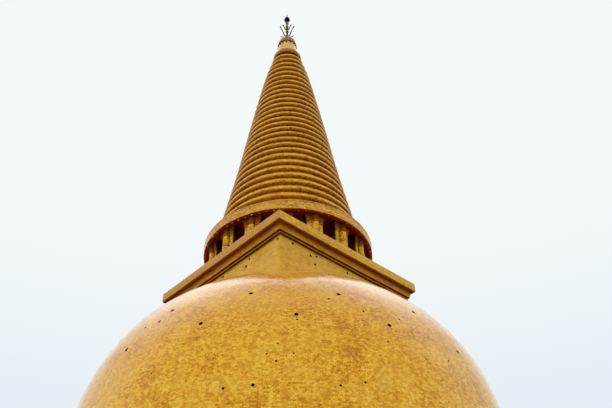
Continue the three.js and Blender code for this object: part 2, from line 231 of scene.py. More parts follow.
# Away from the bell and the foot the glaze is duller.
satinLook = {**goldMosaicLook, "roughness": (0.25, 0.35), "stops": (0.0, 0.3, 0.5, 0.72, 1.0)}
throneLook = {
    **satinLook, "sheet": (0.24, 0.14), "sheetShare": 0.3, "patch": 2.6, "patchShare": 0.4, "streak": 0.6,
    "dash": 0.12, "dashFlat": 0.7, "dashShare": 1.0, "swellDepth": 0.05, "relief": 0.003,
    "gloss": 0.22, "dust": 0.04, "colours": "a46804 ca920e daa21a e6b22c f0c84e",
    "tan": ("MIX", "cc9248", 0.5, 0.95, 0.5), "rain": ("MULTIPLY", "dcb478", 0.52, 0.75, 0.3)}

# The bell's tops carry painted shade, darkened and yellowed where they turn up.
bellFinish = tiled("glazedGoldMosaicOnTheBell", {
    **goldMosaicLook, "dash": 0.14, "dashShare": 1.8, "cloud": 1.3, "cloudShare": 0.44, "patch": 5.0,
    "patchShare": 0.95, "colours": "b56f18 da9420 f2b12c fcc33e ffe26c", "hollow": None, "under": None,
    "top": ("MULTIPLY", "d4c648", 0.0, 0.5, 1.0), "glossColour": "fff0c0"})
# The throne walls carry painted shade in hollows, on faces turned down and on faces turned up.
throneFinish = tiled("glazedGoldMosaicOnTheThrone", {
    **throneLook, "hollow": ("MULTIPLY", "8a4a10", 0.85, 0.25, 0.4)})
# The coves under the slab: the same mosaic with its colours darkened to amber as painted shade under the
# slab, more painted shade in its hollows and on faces turned down, and rain dirt.
mouldingFinishWithPaintedShade = tiled("glazedMosaicWithPaintedShadeOnTheMouldings", {
    **throneLook, "swellDepth": 0.02, "dust": 0.0, "gloss": 0.08,
    "colours": "8a5000 b07602 c48804 d29812 e2b02c", "tan": ("MIX", "c0802c", 0.5, 0.95, 0.5),
    "under": ("MULTIPLY", "b05c10", -0.15, -0.7, 0.9),
    "hollow": ("MULTIPLY", "6a3004", 0.85, 0.25, 0.9), "hollowSize": 0.45})
# The slab carries painted shade in hollows, on its undersides and on faces turned up.
slabFinish = tiled("glazedGoldMosaicOnTheSlab", {
    **throneLook, "swellDepth": 0.03, "dust": 0.0, "gloss": 0.15, "dashShare": 1.6,
    "top": ("MULTIPLY", "c8a258", 0.0, 1.0, 0.5), "minusYTint": ("MIX", "bc7830", -0.2, -0.9, 0.6),
    "under": ("MULTIPLY", "7a3404", -0.15, -0.7, 0.95)})
# The foot carries painted shade in hollows, on its undersides and on faces turned up.
footFinish = tiled("glazedGoldMosaicOnTheFoot", {
    **goldMosaicLook, "sheet": (0.6, 0.3), "patch": 5.0, "dash": 0.45,
    "colours": "b56f18 da9420 eeb02c f6c03c fcdc64", "under": ("MULTIPLY", "9a5c1c", -0.15, -0.7, 0.5),
    "top": ("MULTIPLY", "d4c690", 0.0, 1.0, 0.45)})
# The columns carry painted shade: in hollows, on the piers' flanks between them, on the capitals under the
# cornice, and on faces turned down and up.
columnFinish = tiled("glazedGoldMosaicOnTheColumns", {
    **satinLook, "sheet": (0.26, 0.2), "dash": 0.24, "patch": 1.6, "patchShare": 0.4,
    "swellDepth": 0.02, "gloss": 0.1, "dust": 0.0, "colours": "9a5e06 cc900c e0aa20 ecbc38 f8d468",
    "tan": ("MIX", "d08830", 0.5, 0.95, 0.3),
    "hollow": ("MULTIPLY", "7a4410", 0.6, 0.2, 0.3), "hollowSize": 0.3,
    "paintedFlankShade": ("MULTIPLY", "4a1c04", 0.6, 0.25, 0.95), "paintedFlankShadeReach": (10.68, 10.765),
    "high": ("MULTIPLY", "c07c1c", 61.6 * realMetre, 62.3 * realMetre, 0.9)})
# The rings carry painted shade in hollows, on the undersides of the rolls, and on faces turned up.
ringFinish = tiled("glazedGoldMosaicOnTheRings", {
    **satinLook, "aroundAxis": 180, "sheet": (0.35, 0.12), "dash": 0.26, "patch": 2.4,
    "swellDepth": 0.03, "gloss": 0.15, "dust": 0.03, "colours": "a66404 d8960c ecb01c f4c034 fcd868",
    "tan": ("MIX", "d8842c", 0.5, 0.95, 0.5),
    "hollow": ("MULTIPLY", "98640c", 0.7, 0.3, 0.3), "hollowSize": 0.7,
    "under": ("MULTIPLY", "b07618", 0.05, -0.7, 0.65)})
# The collar over the rings: the same tile, a little browner, with painted shade in hollows, on faces turned
# down and on faces turned up.
collarFinish = tiled("glazedOchreMosaicOnTheCollar", {
    **satinLook, "aroundAxis": 60, "sheet": (0.35, 0.2), "dash": 0.26, "patch": 1.6,
    "swellDepth": 0.02, "gloss": 0.08, "dust": 0.0, "roughness": (0.3, 0.4),
    "colours": "7c4200 a26204 b67608 c88816 d8a23c", "tan": ("MIX", "a4641c", 0.5, 0.95, 0.5),
    "under": ("MULTIPLY", "8a500c", -0.15, -0.7, 0.6)})
# The cornice carries painted shade: near black deep in its hollows, and a dark red orange on faces turned
# down, which stands for shade lit by painted warm bounce light from below.
corniceFinish = tiled("glazedGoldMosaicOnTheCornice", {
    **satinLook, "sheet": (0.4, 0.24), "patch": 1.8, "swellDepth": 0.03,
    "dashShare": 2.2, "gloss": 0.2, "dust": 0.05, "colours": "a06408 c68a14 d89c26 e4ae3c f0c668",
    "tan": ("MIX", "cc7a3c", 0.5, 0.95, 0.7),
    "hollow": ("MULTIPLY", "3c1400", 0.8, 0.35, 0.95), "hollowSize": 1.3,
    "under": ("MIX", "a43c04", -0.15, -0.6, 1.0)})


weatheredLook = {
    "cloudGrain": (1, 4.0, 0.62), "fineGrain": (1, 2.0, 0.6), "cloudShare": 0.65, "fineShare": 0.35,
    "stops": (0.32, 0.5, 0.68), "roughStart": 0.3, "roughEnd": 0.7, "gloss": 0.3, "metallic": 0.0,
}


def plainFinish(name, changes):
    # A surface of one colour, clouded by weather.
    look = {**weatheredLook, **changes}
    material, tree = newMaterial(name)
    place = addNode(tree, "ShaderNodeTexCoord").outputs["Object"]
    clouds = grain(tree, place, look["cloud"], *look["cloudGrain"])
    fine = grain(tree, place, look["fine"], *look["fineGrain"])
    tone = weighed(tree, [(clouds, look["cloudShare"]), (fine, look["fineShare"])])
    colour = shaded(tree, tone, look["stops"], look["colours"])
    smooth, rough = look["roughness"]
    links = {0: fine, 1: look["roughStart"], 2: look["roughEnd"], 3: smooth, 4: rough}
    roughness = addNode(tree, "ShaderNodeMapRange", {}, links).outputs[0]
    bump = addNode(tree, "ShaderNodeBump", {}, {
        "Strength": look["bump"], "Distance": look["relief"] * realMetre, "Height": fine}).outputs[0]
    endMaterial(tree, {
        "Base Color": colour, "Roughness": roughness, "Normal": bump, "Metallic": look["metallic"],
        "Specular IOR Level": look["gloss"]})
    return material


# Lime render, almost black brown and quite matt: painted shade for the deep core of the colonnade and the
# walls of the vents.
paintedShadeRender = plainFinish("nearBlackRenderForPaintedShade", {
    "cloud": 1.6, "fine": 0.2, "colours": "0e0704 1a0d07 2a150b",
    "roughness": (0.85, 0.95), "bump": 0.4, "relief": 0.03})
# Pale glazed tile on the neck: cream and straw, clouded by rain.
paleGlaze = plainFinish("paleStrawGlaze", {
    "cloud": 0.8, "fine": 0.16, "colours": "a87c30 d0a254 e6c07c",
    "roughness": (0.28, 0.42), "bump": 0.25, "relief": 0.02})
# Amber glazed tile on the cap: deep orange brown where the glaze pools.
amberGlaze = plainFinish("amberBrownGlaze", {
    "cloud": 0.7, "fine": 0.14, "colours": "642e06 a05c14 c4842e",
    "roughness": (0.25, 0.4), "bump": 0.25, "relief": 0.02})
# Weathered cast bronze: near black with a little brown in it.
darkBronze = plainFinish("weatheredCastBronze", {
    "cloud": 0.3, "fine": 0.06, "colours": "14110f 2a2320 4a3c30",
    "roughness": (0.4, 0.6), "bump": 0.2, "relief": 0.01, "metallic": 0.8, "gloss": 0.5})
# Gilded copper on the beaded stem: warm metal, dulled by weather.
gildedCopper = plainFinish("gildedCopper", {
    "cloud": 0.3, "fine": 0.06, "colours": "8a6a2c b8923f d9b866",
    "roughness": (0.3, 0.45), "bump": 0.15, "relief": 0.01, "metallic": 0.9, "gloss": 0.5})
# Tinned brass leaves under the small bells: pale metal gone chalky in the weather.
tinnedBrass = plainFinish("tinnedBrass", {
    "cloud": 0.3, "fine": 0.05, "stops": (0.32, 0.471, 0.522, 0.68), "colours": "54402c 7c624a dccab8 fbf4ea",
    "roughness": (0.5, 0.6), "bump": 0.1, "relief": 0.005})
print("finishes made")


# Meshes

def placed(name, data):
    thing = bpy.data.objects.new(name, data)
    bpy.context.scene.collection.objects.link(thing)
    return thing


def evaluated(thing):
    # a plain mesh of what the object's modifiers give
    bpy.context.view_layer.update()
    graph = bpy.context.evaluated_depsgraph_get()
    return bpy.data.meshes.new_from_object(thing.evaluated_get(graph), depsgraph=graph)


def outward(mesh):
    # turns a closed mesh right side out
    work = bmesh.new()
    work.from_mesh(mesh)
    if work.calc_volume(signed=True) < 0:
        bmesh.ops.reverse_faces(work, faces=work.faces)
        work.to_mesh(mesh)
    work.free()


def makePiece(name, mesh, finishes, sharp=34):
    outward(mesh)
    mesh.polygons.foreach_set("use_smooth", [True] * len(mesh.polygons))
    mesh.set_sharp_from_angle(angle=math.radians(sharp))
    mesh.materials.clear()
    for finish in finishes:
        mesh.materials.append(finish)
    mesh.name = name
    return placed(name, mesh)


def seat(piece, slot, *nodes):
    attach(piece, "root")
    if nodes:
        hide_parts(*nodes)


def dress(node, mesh, finish, slot, sharp=34):
    # a piece of one finish that takes the place of one node
    seat(makePiece(node + "_dressed", mesh, [finish], sharp), slot, node)


def softened(outline, radius, steps=3):
    # rounds each corner inside an outline with a short arc
    points = [Vector(point) for point in outline]
    soft = [points[0]]
    for before, corner, after in zip(points, points[1:], points[2:]):
        back, ahead = before - corner, after - corner
        if back.length < 1e-6 or ahead.length < 1e-6:
            continue
        start = corner + back.normalized() * min(radius, 0.4 * back.length)
        end = corner + ahead.normalized() * min(radius, 0.4 * ahead.length)
        for i in range(steps + 1):
            t = i / steps
            soft.append(start * (1 - t) ** 2 + corner * (2 * t * (1 - t)) + end * t ** 2)
    soft.append(points[-1])
    return [tuple(point) for point in soft]


def oval(middle, height, reach, rise, steps, start=0.0):
    # points on an oval about (middle, height), from start to a quarter turn
    points = []
    for i in range(steps + 1):
        angle = start + (math.pi / 2 - start) * i / steps
        points.append((middle + reach * math.cos(angle), height + rise * math.sin(angle)))
    return points


def halfRound(radius, depth, foot, top, steps=10):
    # the outline of a rounded ring that stands out by depth to radius
    return oval(radius - depth, (foot + top) / 2, depth, (top - foot) / 2, steps, -math.pi / 2)


def lengthsAlong(outline):
    lengths = [0.0]
    for (a, b), (c, d) in zip(outline, outline[1:]):
        lengths.append(lengths[-1] + math.hypot(c - a, d - b))
    return lengths


def meshFrom(vertices, faces, faceMaps):
    mesh = bpy.data.meshes.new("mesh")
    mesh.from_pydata([tuple(realMetre * v for v in vertex) for vertex in vertices], [], faces)
    layer = mesh.uv_layers.new(name="courses")
    layer.data.foreach_set("uv", [value for corners in faceMaps for corner in corners for value in corner])
    return mesh


def wrapped(rows, ring, across, along):
    # the side faces of a mesh of rings, and their maps in real metres
    faces, maps = [], []
    for row in range(rows - 1):
        for side in range(ring):
            after = (side + 1) % ring
            low, high = row * ring, (row + 1) * ring
            faces.append((low + side, low + after, high + after, high + side))
            left, right, foot, top = across[side], across[side + 1], along[row], along[row + 1]
            maps.append(((left, foot), (right, foot), (right, top), (left, top)))
    return faces, maps


def lathed(outline, sides, sheetWidth=0.5, wander=0.0, wanderSize=4.0, soft=0.0, softSteps=3):
    # turns an outline of (radius, height), in real metres from the bottom up, and closes its ends
    if soft:
        outline = softened(outline, soft, softSteps)
    widest = max(radius for radius, _ in outline)
    around = round(fullTurn * widest / sheetWidth) * sheetWidth
    along = lengthsAlong(outline)
    vertices = []
    for radius, height in outline:
        for side in range(sides):
            angle = fullTurn * side / sides
            x, y = math.cos(angle), math.sin(angle)
            shift = 0.0
            if wander:
                spot = Vector((radius * x, radius * y, height)) / wanderSize
                shift = wander * (noise.noise(spot) - 0.5)
            vertices.append(((radius + shift) * x, (radius + shift) * y, height))
    across = [around * side / sides for side in range(sides + 1)]
    faces, maps = wrapped(len(outline), sides, across, along)
    for row in (0, len(outline) - 1):
        centre, low = len(vertices), row * sides
        vertices.append((0.0, 0.0, outline[row][1]))
        for side in range(sides):
            rim = (low + side, low + (side + 1) % sides)
            rim = rim if row else rim[::-1]
            faces.append((centre, *rim))
            maps.append(tuple(vertices[v][:2] for v in (centre, *rim)))
    return meshFrom(vertices, faces, maps)


def boxed(outline, halfX, halfY, middle=(0.0, 0.0), cornerRadius=0.05, cornerSteps=2, perSide=8,
          wander=0.0, wanderSize=3.0):
    # sweeps an outline of (offset, height) round a rectangle, in real metres from the bottom up
    along = lengthsAlong(outline)
    vertices, across = [], []
    corners = ((1, 1, 0), (-1, 1, 90), (-1, -1, 180), (1, -1, 270))
    for offset, height in outline:
        arcs = []
        for signX, signY, start in corners:
            x, y = signX * (halfX + offset - cornerRadius), signY * (halfY + offset - cornerRadius)
            turns = [math.radians(start + 90 * step / cornerSteps) for step in range(cornerSteps + 1)]
            arcs.append([(x + cornerRadius * math.cos(a), y + cornerRadius * math.sin(a)) for a in turns])
        spots = []
        for arc, (goal, *_) in zip(arcs, arcs[1:] + arcs[:1]):
            (x, y), (goalX, goalY) = arc[-1], goal
            spots += arc
            for share in [step / perSide for step in range(1, perSide)]:
                spots.append((x + (goalX - x) * share, y + (goalY - y) * share))
        if not across:
            across = [0.0]
            for a, b in zip(spots, spots[1:] + spots[:1]):
                across.append(across[-1] + math.dist(a, b))
        for x, y in spots:
            if wander:
                spot = Vector((x, y, height)) / wanderSize
                grow = 1 + wander * (noise.noise(spot) - 0.5) / max(halfX, halfY)
                x, y = x * grow, y * grow
            vertices.append((middle[0] + x, middle[1] + y, height))
    ring = len(across) - 1
    faces, maps = wrapped(len(outline), ring, across, along)
    for rim in (range(ring)[::-1], range(ring * (len(outline) - 1), ring * len(outline))):
        faces.append(tuple(rim))
        maps.append(tuple(vertices[v][:2] for v in rim))
    return meshFrom(vertices, faces, maps)


def joined(*meshes):
    # one mesh from several, with their maps kept
    work = bmesh.new()
    for mesh in meshes:
        outward(mesh)
        work.from_mesh(mesh)
    whole = bpy.data.meshes.new("whole")
    work.to_mesh(whole)
    work.free()
    return whole


# Geometry Nodes

def nodeTree(name, inputs):
    tree = bpy.data.node_groups.new(name, "GeometryNodeTree")
    tree.interface.new_socket("Geometry", in_out="INPUT", socket_type="NodeSocketGeometry")
    for title, kind in inputs:
        tree.interface.new_socket(title, in_out="INPUT", socket_type="NodeSocket" + kind)
    tree.interface.new_socket("Geometry", in_out="OUTPUT", socket_type="NodeSocketGeometry")
    return tree, addNode(tree, "NodeGroupInput").outputs


def endTree(tree, geometry, finish):
    # every tree ends in Realize Instances and Set Material
    real = addNode(tree, "GeometryNodeRealizeInstances", {}, {0: geometry})
    painted = addNode(tree, "GeometryNodeSetMaterial", {}, {"Geometry": real.outputs[0], "Material": finish})
    addNode(tree, "NodeGroupOutput", {}, {0: painted.outputs[0]})


def bearingOf(tree, copies, first):
    # the turn of each copy about the axis, at an even pitch from the first
    index = addNode(tree, "GeometryNodeInputIndex").outputs[0]
    pitch = addNode(tree, "ShaderNodeMath", {"operation": "DIVIDE"}, {0: fullTurn, 1: copies}).outputs[0]
    links = {0: index, 1: pitch, 2: first}
    return addNode(tree, "ShaderNodeMath", {"operation": "MULTIPLY_ADD"}, links).outputs[0]


def copiesRoundTheAxis():
    # turns copies of the given shape about the axis, at an even pitch
    tree, given = nodeTree("copiesRoundTheAxis", [
        ("Copies", "Int"), ("First Turn", "Float"), ("Finish", "Material")])
    points = addNode(tree, "GeometryNodePoints", {}, {"Count": given["Copies"]}).outputs[0]
    turn = bearingOf(tree, given["Copies"], given["First Turn"])
    rotation = addNode(tree, "ShaderNodeCombineXYZ", {}, {2: turn}).outputs[0]
    copies = addNode(tree, "GeometryNodeInstanceOnPoints", {}, {
        "Points": points, "Instance": given["Geometry"], "Rotation": rotation}).outputs[0]
    endTree(tree, copies, given["Finish"])
    return tree


def hungRoundTheAxis():
    # hangs copies of the given shape on a circle, each turned, swung and sized a little differently
    tree, given = nodeTree("hungRoundTheAxis", [
        ("Copies", "Int"), ("Circle", "Float"), ("Height", "Float"), ("Swing", "Float"), ("Turn", "Float"),
        ("Size Spread", "Float"), ("Seed", "Int"), ("Finish", "Material")])
    bearing = bearingOf(tree, given["Copies"], 0.0)
    start = addNode(tree, "ShaderNodeCombineXYZ", {}, {0: given["Circle"], 2: given["Height"]}).outputs[0]
    spot = addNode(tree, "ShaderNodeVectorRotate", {"rotation_type": "Z_AXIS"}, {
        "Vector": start, "Angle": bearing}).outputs[0]
    points = addNode(tree, "GeometryNodePoints", {}, {"Count": given["Copies"], "Position": spot}).outputs[0]
    chance = addNode(tree, "FunctionNodeRandomValue", {"data_type": "FLOAT_VECTOR"}, {
        "Min": (-1.0, -1.0, -1.0), "Max": (1.0, 1.0, 1.0), "Seed": given["Seed"]}).outputs[0]
    swings = addNode(tree, "ShaderNodeCombineXYZ", {}, {
        0: given["Swing"], 1: given["Swing"], 2: given["Turn"]}).outputs[0]
    facing = addNode(tree, "ShaderNodeCombineXYZ", {}, {2: bearing}).outputs[0]
    rotation = addNode(tree, "ShaderNodeVectorMath", {"operation": "MULTIPLY_ADD"}, {
        0: chance, 1: swings, 2: facing}).outputs[0]
    draw = addNode(tree, "ShaderNodeSeparateXYZ", {}, {0: chance}).outputs[2]
    size = addNode(tree, "ShaderNodeMath", {"operation": "MULTIPLY_ADD"}, {
        0: draw, 1: given["Size Spread"], 2: 1.0}).outputs[0]
    copies = addNode(tree, "GeometryNodeInstanceOnPoints", {}, {
        "Points": points, "Instance": given["Geometry"], "Rotation": rotation, "Scale": size}).outputs[0]
    endTree(tree, copies, given["Finish"])
    return tree


def ringsOnTheAxis():
    # sweeps one section round a circle at each point, whose size is the point's lipRadius
    tree, given = nodeTree("ringsOnTheAxis", [
        ("Section", "Object"), ("Sides", "Int"), ("Finish", "Material")])
    radius = addNode(tree, "GeometryNodeInputNamedAttribute", {"data_type": "FLOAT"}, {
        "Name": "lipRadius"}).outputs[0]
    size = addNode(tree, "ShaderNodeCombineXYZ", {}, {0: radius, 1: radius, 2: 1.0}).outputs[0]
    circle = addNode(tree, "GeometryNodeCurvePrimitiveCircle", {"mode": "RADIUS"}, {
        "Resolution": given["Sides"], "Radius": 1.0}).outputs[0]
    circles = addNode(tree, "GeometryNodeInstanceOnPoints", {}, {
        "Points": given["Geometry"], "Instance": circle, "Scale": size}).outputs[0]
    paths = addNode(tree, "GeometryNodeRealizeInstances", {}, {0: circles}).outputs[0]
    upright = addNode(tree, "GeometryNodeSetCurveNormal", {"mode": "Z_UP"}, {"Curve": paths}).outputs[0]
    section = addNode(tree, "GeometryNodeObjectInfo", {}, {"Object": given["Section"]}).outputs["Geometry"]
    profile = addNode(tree, "GeometryNodeMeshToCurve", {}, {0: section}).outputs[0]
    swept = addNode(tree, "GeometryNodeCurveToMesh", {}, {
        "Curve": upright, "Profile Curve": profile}).outputs[0]
    endTree(tree, swept, given["Finish"])
    return tree


def grown(name, mesh, tree, values):
    # runs a node tree on a mesh and gives the result as a plain mesh
    base = placed(name + "Base", mesh)
    modifier = base.modifiers.new("nodes", "NODES")
    modifier.node_group = tree
    sockets = {item.name: item.identifier for item in tree.interface.items_tree if item.in_out == "INPUT"}
    for title, value in values.items():
        modifier[sockets[title]] = value
    result = evaluated(base)
    base.modifiers.remove(modifier)
    bpy.data.objects.remove(base)
    return result


copiesTree = copiesRoundTheAxis()
hungTree = hungRoundTheAxis()
ringsTree = ringsOnTheAxis()


# Foot: plinth, drum, its cornice, the tiled skirt and the great rings

foot = {
    "sides": 224,
    "plinth": [(37.42, 0.0), (37.5, 0.1), (37.5, 0.95), (37.2, 1.0), (37.2, 1.12), (36.95, 1.4)],
    "drumFoot": [(37.0, 1.4), (37.0, 1.85), (36.8, 1.95), (36.8, 2.2), (36.45, 2.5)],
    "drumBands": (3.3, 5.6), "bandReach": 0.16, "bandHalf": 0.2, "bandEdge": 0.05,
    "drumRadius": 36.4, "drumTop": 7.4, "sheetWidth": 0.8,
    "cornice": [(36.4, 7.4), (36.55, 7.5), (36.6, 7.7), (36.95, 7.95), (37.0, 8.05), (37.0, 8.42),
                (36.9, 8.5)],
    "skirtFoot": 36.0, "skirtTop": 32.0, "skirtHeights": (8.5, 13.2), "skirtHollow": 0.7,
    "skirtCourses": 18, "courseStep": 0.07, "courseJoint": 0.01,
    "ringRadii": (32.6, 31.3, 30.1), "ringTops": (15.9, 18.4, 20.7), "ringDepth": 1.5,
    "ringGroove": 0.12,
    "mouth": {"neck": 28.3, "neckTop": 21.3, "lip": 29.2, "top": 22.7},
}


def makeFoot():
    sides, wide = foot["sides"], foot["sheetWidth"]
    plinth = lathed(foot["plinth"], sides, wide, soft=0.06)
    dress("ground_plinth", plinth, footFinish, "gold_tile_foot")
    drum = list(foot["drumFoot"])
    radius, reach, half = foot["drumRadius"], foot["bandReach"], foot["bandHalf"]
    for middle in foot["drumBands"]:
        drum.append((radius, middle - half - foot["bandEdge"]))
        drum += halfRound(radius + reach, reach, middle - half, middle + half, 6)
        drum.append((radius, middle + half + foot["bandEdge"]))
    drum.append((radius, foot["drumTop"]))
    mesh = lathed(drum, sides, wide, wander=0.05, soft=0.05)
    dress("base_drum", mesh, footFinish, "gold_tile_foot")
    mesh = lathed(foot["cornice"], sides, wide, soft=0.06)
    dress("drum_cornice", mesh, footFinish, "gold_tile_foot")
    low, high = foot["skirtHeights"]
    skirt = []
    for course in range(foot["skirtCourses"] + 1):
        share = course / foot["skirtCourses"]
        straight = foot["skirtFoot"] + (foot["skirtTop"] - foot["skirtFoot"]) * share
        radius = straight - foot["skirtHollow"] * math.sin(math.pi * share)
        height = low + (high - low) * share
        if course:
            skirt.append((radius - foot["courseStep"], height - foot["courseJoint"]))
        if course < foot["skirtCourses"]:
            skirt.append((radius + foot["courseStep"] * 0.5, height))
    mesh = lathed(skirt, sides, wide, wander=0.04, soft=0.03, softSteps=2)
    dress("sloping_skirt", mesh, footFinish, "gold_tile_foot", 24)
    bottom = high
    names = ("great_ring_lower", "great_ring_middle", "great_ring_upper")
    for name, radius, top in zip(names, foot["ringRadii"], foot["ringTops"]):
        inner, groove = radius - foot["ringDepth"], foot["ringGroove"]
        outline = halfRound(radius, foot["ringDepth"], bottom + groove, top - groove, 22)
        outline = [(inner, bottom), *outline, (inner, top)]
        mesh = lathed(outline, sides, wide, wander=0.05)
        dress(name, mesh, footFinish, "gold_tile_foot")
        bottom = top
    mouth = foot["mouth"]
    lip = halfRound(mouth["lip"], mouth["lip"] - mouth["neck"], mouth["neckTop"], mouth["top"], 16)
    mesh = lathed([(mouth["neck"], bottom), *lip], sides, wide, wander=0.04)
    dress("bell_mouth", mesh, footFinish, "gold_tile_foot")
    print("foot made")


# Bell: a flare over the mouth, then a full shoulder, with small vent holes in rows

bell = {
    "mouthRadius": 28.3, "mouthHeight": 22.7, "waistRadius": 25.3, "waistHeight": 30.0,
    "crownHeight": 54.1, "fullness": 2.4, "sides": 288, "flareSteps": 16, "shoulderSteps": 84,
    "wander": 0.07, "wanderSize": 5.0, "sheetWidth": 0.62, "slopeReach": 0.05,
    "ventRows": ((43.2, 16.4, 0.23), (39.6, 27.8, 0.22)),  # height, first bearing in degrees, hole radius
    "ventsPerRow": 16,
    "strayVents": (  # bearing in degrees, height, radius
        (13.9, 41.9, 0.18), (8.7, 42.0, 0.13), (50.4, 38.9, 0.11), (58.5, 42.2, 0.13), (66.7, 40.9, 0.11),
        (76.5, 40.9, 0.11), (46.2, 36.0, 0.09), (43.9, 34.9, 0.09), (49.5, 34.9, 0.09), (45.9, 34.1, 0.12),
        (64.2, 32.3, 0.11), (41.3, 31.8, 0.17), (58.9, 31.8, 0.12), (35.2, 31.75, 0.13), (88.7, 37.3, 0.11),
        (17.5, 34.9, 0.09), (71.1, 37.3, 0.1), (60.0, 29.4, 0.12)),
    "strayTurns": (0, 120, 240), "ventDepth": 0.55, "ventStandout": 0.15, "ventSides": 14,
}


def bellRadius(height):
    if height < bell["waistHeight"]:
        share = (bell["waistHeight"] - height) / (bell["waistHeight"] - bell["mouthHeight"])
        return bell["waistRadius"] + (bell["mouthRadius"] - bell["waistRadius"]) * share ** 2
    share = (height - bell["waistHeight"]) / (bell["crownHeight"] - bell["waistHeight"])
    return bell["waistRadius"] * max(0.0, 1 - share ** bell["fullness"]) ** (1 / bell["fullness"])


def bellOutline():
    outline = []
    for i in range(bell["flareSteps"]):
        height = bell["mouthHeight"] + (bell["waistHeight"] - bell["mouthHeight"]) * i / bell["flareSteps"]
        outline.append((bellRadius(height), height))
    power = 2 / bell["fullness"]
    rise = bell["crownHeight"] - bell["waistHeight"]
    for i in range(bell["shoulderSteps"]):
        angle = math.pi / 2 * i / bell["shoulderSteps"]
        height = bell["waistHeight"] + rise * math.sin(angle) ** power
        outline.append((bell["waistRadius"] * math.cos(angle) ** power, height))
    outline.append((0.02, bell["crownHeight"]))
    return outline


def onBell(bearing, height):
    # a point on the bell and the way it faces; bearings turn from -Y towards +X
    angle = math.radians(bearing)
    way = Vector((math.sin(angle), -math.cos(angle), 0))
    radius = bellRadius(height)
    reach = bell["slopeReach"]
    slope = (bellRadius(height + reach) - bellRadius(height - reach)) / (2 * reach)
    normal = (way - Vector((0, 0, slope))).normalized()
    return way * radius + Vector((0, 0, height)), normal


def drilled(piece, places, radii, depth, sides):
    # cuts round holes at the places, and their walls take the near black render as painted shade
    work = bmesh.new()
    for place, radius in zip(places, radii):
        bmesh.ops.create_cone(work, cap_ends=True, segments=sides, radius1=radius * realMetre,
                              radius2=radius * realMetre, depth=depth * realMetre, matrix=place)
    drill = bpy.data.meshes.new("drill")
    work.to_mesh(drill)
    work.free()
    drill.materials.append(paintedShadeRender)
    cutter = placed("drill", drill)
    cut = piece.modifiers.new("vents", "BOOLEAN")
    cut.operation, cut.solver, cut.object = "DIFFERENCE", "EXACT", cutter
    cut.material_mode = "TRANSFER"
    result = evaluated(piece)
    piece.modifiers.remove(cut)
    piece.data = result
    bpy.data.objects.remove(cutter)


def makeBell():
    mesh = lathed(bellOutline(), bell["sides"], bell["sheetWidth"], bell["wander"], bell["wanderSize"])
    piece = makePiece("bell_dressed", mesh, [bellFinish])
    vents = []
    for height, first, radius in bell["ventRows"]:
        vents += [(first + 360 * i / bell["ventsPerRow"], height, radius) for i in range(bell["ventsPerRow"])]
    for turn in bell["strayTurns"]:
        vents += [(bearing + turn, height, radius) for bearing, height, radius in bell["strayVents"]]
    places = []
    for bearing, height, _ in vents:
        point, normal = onBell(bearing, height)
        turn = normal.to_track_quat("Z", "Y").to_matrix().to_4x4()
        inside = bell["ventDepth"] / 2 - bell["ventStandout"]
        places.append(Matrix.Translation((point - normal * inside) * realMetre) @ turn)
    drilled(piece, places, [radius for _, _, radius in vents], bell["ventDepth"], bell["ventSides"])
    seat(piece, "gold_mosaic_bell", "bell")
    print("bell made with", len(vents), "vents")


# Throne: square walls, fillets, band and slab

throne = {
    "wallHalf": 11.05, "wallFoot": 49.6, "wallTop": 55.86, "corner": 0.06,
    "fillets": [(0.05, 55.86), (0.26, 55.87), (0.29, 55.9), (0.29, 56.05), (0.26, 56.08), (0.24, 56.13)],
    # the cove is a hollow quarter of an oval under the slab, and the band is its foot
    "coveMiddle": (1.0, 56.17), "coveReach": 0.5, "coveRise": 0.85, "coveSplit": 56.76, "coveEnd": 57.13,
    "coveSteps": 16,
    "bandFoot": [(0.3, 56.13), (0.46, 56.13)],
    "slab": [(1.0, 57.11), (1.11, 57.12), (1.11, 58.34), (1.04, 58.41)],
    "ventRadius": 0.17, "ventDepth": 0.9, "ventSides": 12, "wallRows": 12,
    "ventsAlongX": ((10.62, 55.37), (5.26, 55.42), (0.07, 55.36), (-5.2, 55.4), (-10.4, 55.38),
                    (4.75, 54.53)),
    "ventsAlongY": ((-9.03, 55.42), (-5.1, 55.38), (0.14, 55.33), (5.3, 55.4), (10.5, 55.38), (-6.12, 55.05),
                    (-5.44, 54.07)),
}


def throneVents():
    # the place of each hole, on the four faces in turn
    places = []
    for face in range(4):
        turn = Matrix.Rotation(math.radians(90 * face), 4, "Z")
        for along, height in throne["ventsAlongX" if face % 2 else "ventsAlongY"]:
            place = Matrix.Translation(Vector((throne["wallHalf"], along, height)) * realMetre)
            places.append(turn @ place @ Matrix.Rotation(math.radians(90), 4, "Y"))
    return places


